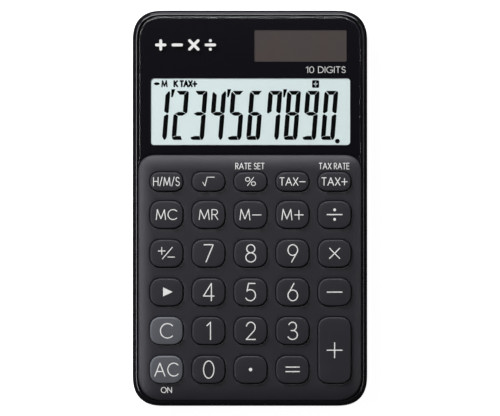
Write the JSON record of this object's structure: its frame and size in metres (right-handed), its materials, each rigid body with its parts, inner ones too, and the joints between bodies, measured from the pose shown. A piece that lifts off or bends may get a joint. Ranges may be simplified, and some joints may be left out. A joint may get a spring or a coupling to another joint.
{
  "type": "pocket calculator",
  "caption": "Slim pocket calculator with slanted-digit display, solar window, pillowed key plate and sprung keys in a gloss black rim.",
  "frame": {"origin": "centre of the plane the feet stand on, calculator lying face up", "axes": "+X to the right across the face, +Y towards the display end, +Z out of the face"},
  "size_m": [0.07, 0.118, 0.0084],
  "materials": {
    "gloss_rim": "polished black moulding",
    "clear_panel": "clear acrylic, polished",
    "panel_print": "black print seen through the clear panel",
    "key_plate": "dark grey, very fine satin texture",
    "key_cap": "dark grey, satin",
    "grey_key": "blue-grey, satin",
    "legend": "pale grey printing",
    "lcd_segment": "dark liquid crystal",
    "rear_case": "black, fine spark texture",
    "foot_rubber": "soft black rubber",
    "bright_steel": "plated steel",
    "circuit_board": "green solder resist",
    "silicone": "pale grey silicone",
    "display_glass": "thin display glass",
    "polariser": "pale grey-green film",
    "reflector": "pale diffuse reflector",
    "inner_black": "black moulding",
    "zebra_rubber": "striped conductive rubber",
    "solar_cell": "brown amorphous silicon under glass",
    "foam": "dark closed-cell foam",
    "red_wire": "red insulation",
    "black_wire": "black insulation",
    "contact_metal": "nickel-plated spring metal",
    "epoxy": "black potting resin",
    "ceramic": "tan ceramic"
  },
  "bodies": {
    "case": {"rear_cover": "rear_case", "front_case": "gloss_rim", "key_plate": "key_plate", "display_panel": "clear_panel", "panel_mask": "panel_print", "dome_mat": "silicone", "main_board": "circuit_board", "chip_blob": "epoxy", "capacitor": "ceramic", "diode": "epoxy", "lcd_polariser": "polariser", "lcd_front_glass": "display_glass", "lcd_rear_glass": "display_glass", "lcd_reflector": "reflector", "zebra_strip": "zebra_rubber", "lcd_holder": "inner_black", "solar_cell": "solar_cell", "solar_pad": "foam", "solar_lead_plus": "red_wire", "solar_lead_minus": "black_wire", "button_cell": "bright_steel", "battery_contact_plus": "contact_metal", "battery_contact_minus": "contact_metal", "foot_front_left": "foot_rubber", "foot_front_right": "foot_rubber", "foot_back_left": "foot_rubber", "foot_back_right": "foot_rubber", "case_screw_top_left": "bright_steel", "case_screw_top_right": "bright_steel", "case_screw_bottom_left": "bright_steel", "case_screw_bottom_right": "bright_steel"},
    "key_hms": {"key_hms": "key_cap"},
    "key_root": {"key_root": "key_cap"},
    "key_percent": {"key_percent": "key_cap"},
    "key_tax_minus": {"key_tax_minus": "key_cap"},
    "key_tax_plus": {"key_tax_plus": "key_cap"},
    "key_mc": {"key_mc": "key_cap"},
    "key_mr": {"key_mr": "key_cap"},
    "key_m_minus": {"key_m_minus": "key_cap"},
    "key_m_plus": {"key_m_plus": "key_cap"},
    "key_divide": {"key_divide": "key_cap"},
    "key_sign": {"key_sign": "key_cap"},
    "key_7": {"key_7": "key_cap"},
    "key_8": {"key_8": "key_cap"},
    "key_9": {"key_9": "key_cap"},
    "key_multiply": {"key_multiply": "key_cap"},
    "key_shift": {"key_shift": "key_cap"},
    "key_4": {"key_4": "key_cap"},
    "key_5": {"key_5": "key_cap"},
    "key_6": {"key_6": "key_cap"},
    "key_minus": {"key_minus": "key_cap"},
    "key_c": {"key_c": "grey_key"},
    "key_1": {"key_1": "key_cap"},
    "key_2": {"key_2": "key_cap"},
    "key_3": {"key_3": "key_cap"},
    "key_ac": {"key_ac": "grey_key"},
    "key_0": {"key_0": "key_cap"},
    "key_point": {"key_point": "key_cap"},
    "key_equals": {"key_equals": "key_cap"},
    "key_plus": {"key_plus": "key_cap"}
  },
  "joints": [
    {"name": "press_hms", "type": "slide", "parent": "case", "child": "key_hms", "axis": [0, 0, -1], "range_m": [0, 0.0008], "stiffness_N_per_m": 800, "springref_m": -0.0005, "deforming": ["dome_mat"]},
    {"name": "press_root", "type": "slide", "parent": "case", "child": "key_root", "axis": [0, 0, -1], "range_m": [0, 0.0008], "stiffness_N_per_m": 800, "springref_m": -0.0005, "deforming": ["dome_mat"]},
    {"name": "press_percent", "type": "slide", "parent": "case", "child": "key_percent", "axis": [0, 0, -1], "range_m": [0, 0.0008], "stiffness_N_per_m": 800, "springref_m": -0.0005, "deforming": ["dome_mat"]},
    {"name": "press_tax_minus", "type": "slide", "parent": "case", "child": "key_tax_minus", "axis": [0, 0, -1], "range_m": [0, 0.0008], "stiffness_N_per_m": 800, "springref_m": -0.0005, "deforming": ["dome_mat"]},
    {"name": "press_tax_plus", "type": "slide", "parent": "case", "child": "key_tax_plus", "axis": [0, 0, -1], "range_m": [0, 0.0008], "stiffness_N_per_m": 800, "springref_m": -0.0005, "deforming": ["dome_mat"]},
    {"name": "press_mc", "type": "slide", "parent": "case", "child": "key_mc", "axis": [0, 0, -1], "range_m": [0, 0.0008], "stiffness_N_per_m": 800, "springref_m": -0.0005, "deforming": ["dome_mat"]},
    {"name": "press_mr", "type": "slide", "parent": "case", "child": "key_mr", "axis": [0, 0, -1], "range_m": [0, 0.0008], "stiffness_N_per_m": 800, "springref_m": -0.0005, "deforming": ["dome_mat"]},
    {"name": "press_m_minus", "type": "slide", "parent": "case", "child": "key_m_minus", "axis": [0, 0, -1], "range_m": [0, 0.0008], "stiffness_N_per_m": 800, "springref_m": -0.0005, "deforming": ["dome_mat"]},
    {"name": "press_m_plus", "type": "slide", "parent": "case", "child": "key_m_plus", "axis": [0, 0, -1], "range_m": [0, 0.0008], "stiffness_N_per_m": 800, "springref_m": -0.0005, "deforming": ["dome_mat"]},
    {"name": "press_divide", "type": "slide", "parent": "case", "child": "key_divide", "axis": [0, 0, -1], "range_m": [0, 0.0008], "stiffness_N_per_m": 800, "springref_m": -0.0005, "deforming": ["dome_mat"]},
    {"name": "press_sign", "type": "slide", "parent": "case", "child": "key_sign", "axis": [0, 0, -1], "range_m": [0, 0.0008], "stiffness_N_per_m": 800, "springref_m": -0.0005, "deforming": ["dome_mat"]},
    {"name": "press_7", "type": "slide", "parent": "case", "child": "key_7", "axis": [0, 0, -1], "range_m": [0, 0.0008], "stiffness_N_per_m": 800, "springref_m": -0.0005, "deforming": ["dome_mat"]},
    {"name": "press_8", "type": "slide", "parent": "case", "child": "key_8", "axis": [0, 0, -1], "range_m": [0, 0.0008], "stiffness_N_per_m": 800, "springref_m": -0.0005, "deforming": ["dome_mat"]},
    {"name": "press_9", "type": "slide", "parent": "case", "child": "key_9", "axis": [0, 0, -1], "range_m": [0, 0.0008], "stiffness_N_per_m": 800, "springref_m": -0.0005, "deforming": ["dome_mat"]},
    {"name": "press_multiply", "type": "slide", "parent": "case", "child": "key_multiply", "axis": [0, 0, -1], "range_m": [0, 0.0008], "stiffness_N_per_m": 800, "springref_m": -0.0005, "deforming": ["dome_mat"]},
    {"name": "press_shift", "type": "slide", "parent": "case", "child": "key_shift", "axis": [0, 0, -1], "range_m": [0, 0.0008], "stiffness_N_per_m": 800, "springref_m": -0.0005, "deforming": ["dome_mat"]},
    {"name": "press_4", "type": "slide", "parent": "case", "child": "key_4", "axis": [0, 0, -1], "range_m": [0, 0.0008], "stiffness_N_per_m": 800, "springref_m": -0.0005, "deforming": ["dome_mat"]},
    {"name": "press_5", "type": "slide", "parent": "case", "child": "key_5", "axis": [0, 0, -1], "range_m": [0, 0.0008], "stiffness_N_per_m": 800, "springref_m": -0.0005, "deforming": ["dome_mat"]},
    {"name": "press_6", "type": "slide", "parent": "case", "child": "key_6", "axis": [0, 0, -1], "range_m": [0, 0.0008], "stiffness_N_per_m": 800, "springref_m": -0.0005, "deforming": ["dome_mat"]},
    {"name": "press_minus", "type": "slide", "parent": "case", "child": "key_minus", "axis": [0, 0, -1], "range_m": [0, 0.0008], "stiffness_N_per_m": 800, "springref_m": -0.0005, "deforming": ["dome_mat"]},
    {"name": "press_c", "type": "slide", "parent": "case", "child": "key_c", "axis": [0, 0, -1], "range_m": [0, 0.0008], "stiffness_N_per_m": 800, "springref_m": -0.0005, "deforming": ["dome_mat"]},
    {"name": "press_1", "type": "slide", "parent": "case", "child": "key_1", "axis": [0, 0, -1], "range_m": [0, 0.0008], "stiffness_N_per_m": 800, "springref_m": -0.0005, "deforming": ["dome_mat"]},
    {"name": "press_2", "type": "slide", "parent": "case", "child": "key_2", "axis": [0, 0, -1], "range_m": [0, 0.0008], "stiffness_N_per_m": 800, "springref_m": -0.0005, "deforming": ["dome_mat"]},
    {"name": "press_3", "type": "slide", "parent": "case", "child": "key_3", "axis": [0, 0, -1], "range_m": [0, 0.0008], "stiffness_N_per_m": 800, "springref_m": -0.0005, "deforming": ["dome_mat"]},
    {"name": "press_ac", "type": "slide", "parent": "case", "child": "key_ac", "axis": [0, 0, -1], "range_m": [0, 0.0008], "stiffness_N_per_m": 800, "springref_m": -0.0005, "deforming": ["dome_mat"]},
    {"name": "press_0", "type": "slide", "parent": "case", "child": "key_0", "axis": [0, 0, -1], "range_m": [0, 0.0008], "stiffness_N_per_m": 800, "springref_m": -0.0005, "deforming": ["dome_mat"]},
    {"name": "press_point", "type": "slide", "parent": "case", "child": "key_point", "axis": [0, 0, -1], "range_m": [0, 0.0008], "stiffness_N_per_m": 800, "springref_m": -0.0005, "deforming": ["dome_mat"]},
    {"name": "press_equals", "type": "slide", "parent": "case", "child": "key_equals", "axis": [0, 0, -1], "range_m": [0, 0.0008], "stiffness_N_per_m": 800, "springref_m": -0.0005, "deforming": ["dome_mat"]},
    {"name": "press_plus", "type": "slide", "parent": "case", "child": "key_plus", "axis": [0, 0, -1], "range_m": [0, 0.0008], "stiffness_N_per_m": 800, "springref_m": -0.0005, "deforming": ["dome_mat"]}
  ]
}
